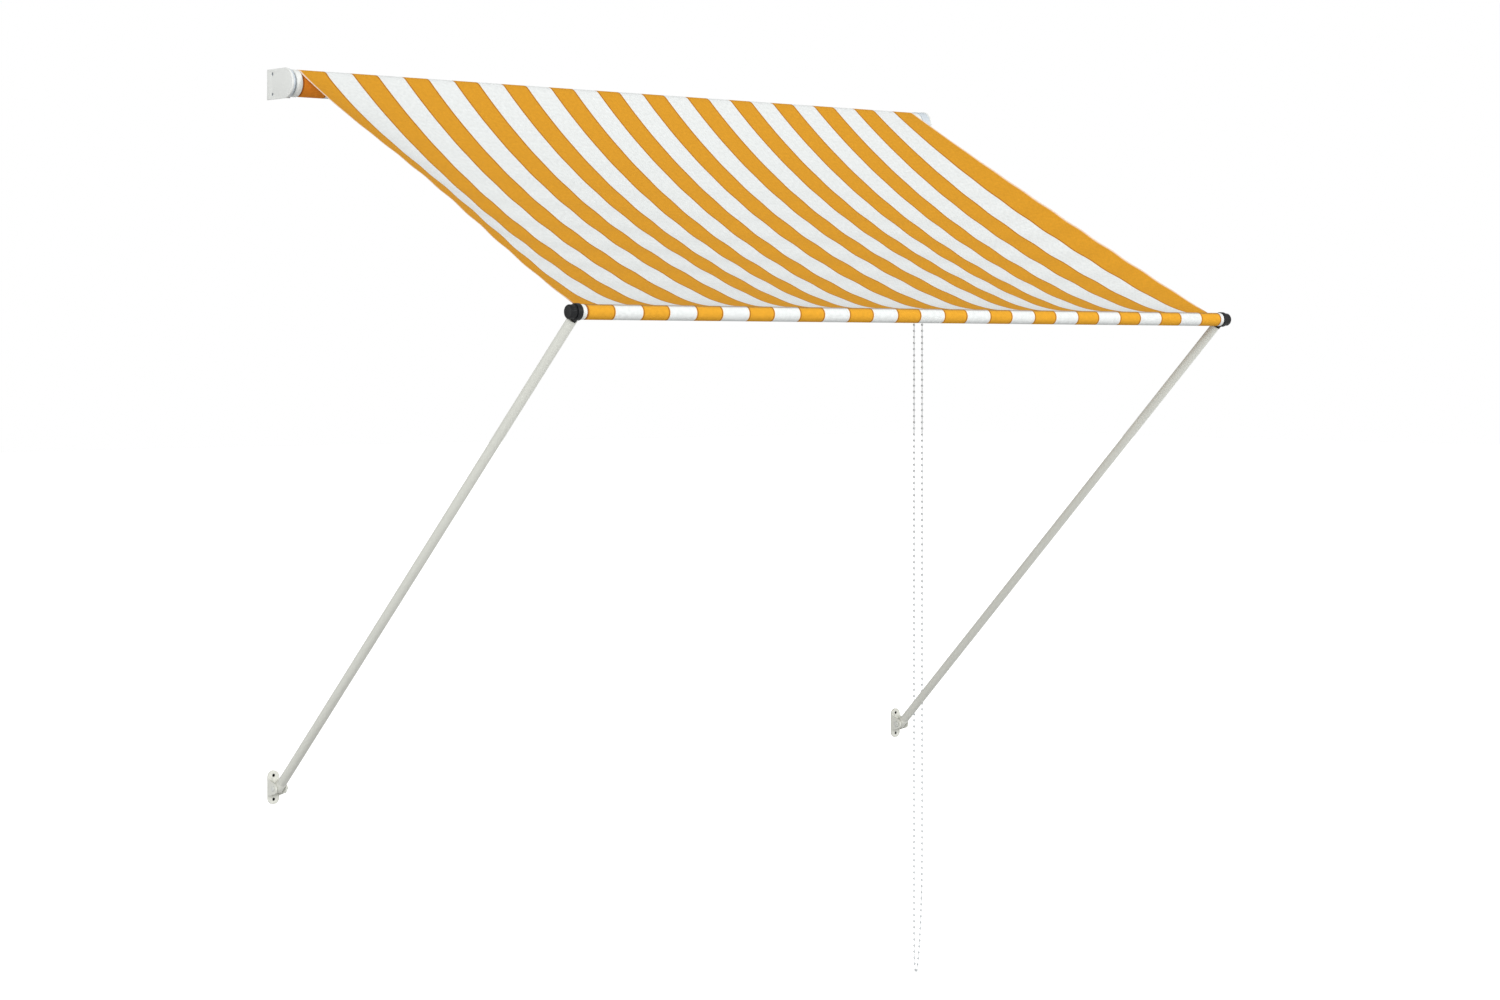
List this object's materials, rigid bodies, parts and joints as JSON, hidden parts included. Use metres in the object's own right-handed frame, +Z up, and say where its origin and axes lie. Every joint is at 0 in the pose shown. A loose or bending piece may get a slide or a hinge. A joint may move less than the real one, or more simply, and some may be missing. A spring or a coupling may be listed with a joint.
{
  "type": "retractable awning",
  "caption": "Drop-arm window awning: striped canopy on a chain-driven wall roller, held out by a front bar on two swinging arms.",
  "frame": {"origin": "on the wall plane, midway along the cloth's width, level with the roller's axis", "axes": "+X along the wall to the right as seen from the room outside, +Y into the wall, +Z up"},
  "size_m": [1.469, 0.858, 1.6952],
  "materials": {
    "white_plastic": "moulded plastic, satin",
    "grey_plastic": "moulded plastic, satin",
    "black_plastic": "moulded plastic, satin",
    "white_steel": "powder coat, warm white",
    "zinc_steel": "zinc plated",
    "spring_steel": "oiled spring wire",
    "striped_cloth": "woven polyester, yellow and white stripes"
  },
  "bodies": {
    "wall_mounts": {"left_roller_bracket": "white_steel", "left_bracket_cover": "white_plastic", "left_cover_screw_lower": "zinc_steel", "left_cover_screw_upper": "zinc_steel", "axle_pin": "zinc_steel", "axle_bush": "grey_plastic", "right_roller_bracket": "white_steel", "right_bracket_cover": "white_plastic", "right_cover_screw_lower": "zinc_steel", "right_cover_screw_upper": "zinc_steel", "clutch_post": "zinc_steel", "clutch_spring": "spring_steel", "left_arm_bracket": "white_steel", "right_arm_bracket": "white_steel", "left_pivot_bolt": "zinc_steel", "left_pivot_nut": "zinc_steel", "right_pivot_bolt": "zinc_steel", "right_pivot_nut": "zinc_steel", "canopy": "striped_cloth", "bead_chain": "white_plastic"},
    "roller": {"roller_tube": "zinc_steel", "wound_fabric": "striped_cloth", "idler_plug": "white_plastic", "drive_plug": "white_plastic", "chain_sprocket": "white_plastic"},
    "left_arm": {"left_arm_tube": "white_steel", "left_arm_foot": "white_plastic", "left_arm_head": "black_plastic"},
    "right_arm": {"right_arm_tube": "white_steel", "right_arm_foot": "white_plastic", "right_arm_head": "black_plastic"},
    "front_bar": {"front_bar_tube": "white_steel", "bar_hem": "striped_cloth", "left_bar_plug": "white_plastic", "right_bar_plug": "white_plastic", "left_end_knob": "black_plastic", "right_end_knob": "black_plastic"}
  },
  "joints": [
    {"name": "left_arm_swing", "type": "hinge", "parent": "wall_mounts", "child": "left_arm", "pos_m": [-0.7135, -0.0185, -1.179], "axis": [1, 0, 0], "range_deg": [-42.3, 20], "deforming": ["canopy"]},
    {"name": "right_arm_swing", "type": "hinge", "parent": "wall_mounts", "child": "right_arm", "pos_m": [0.7135, -0.0185, -1.179], "axis": [1, 0, 0], "range_deg": [-42.3, 20]},
    {"name": "bar_turn", "type": "hinge", "parent": "left_arm", "child": "front_bar", "pos_m": [0, -0.845, -0.39], "axis": [1, 0, 0], "range_deg": [-20, 42.3]},
    {"name": "roller_spin", "type": "hinge", "parent": "wall_mounts", "child": "roller", "pos_m": [0, -0.0545, 0], "axis": [1, 0, 0], "range_deg": [-2060, 974]}
  ],
  "couplings": [
    {"joint": "right_arm_swing", "follows": "left_arm_swing", "ratio": 1},
    {"joint": "bar_turn", "follows": "left_arm_swing", "ratio": -1},
    {"joint": "roller_spin", "follows": "left_arm_swing", "ratio": 48.7}
  ]
}
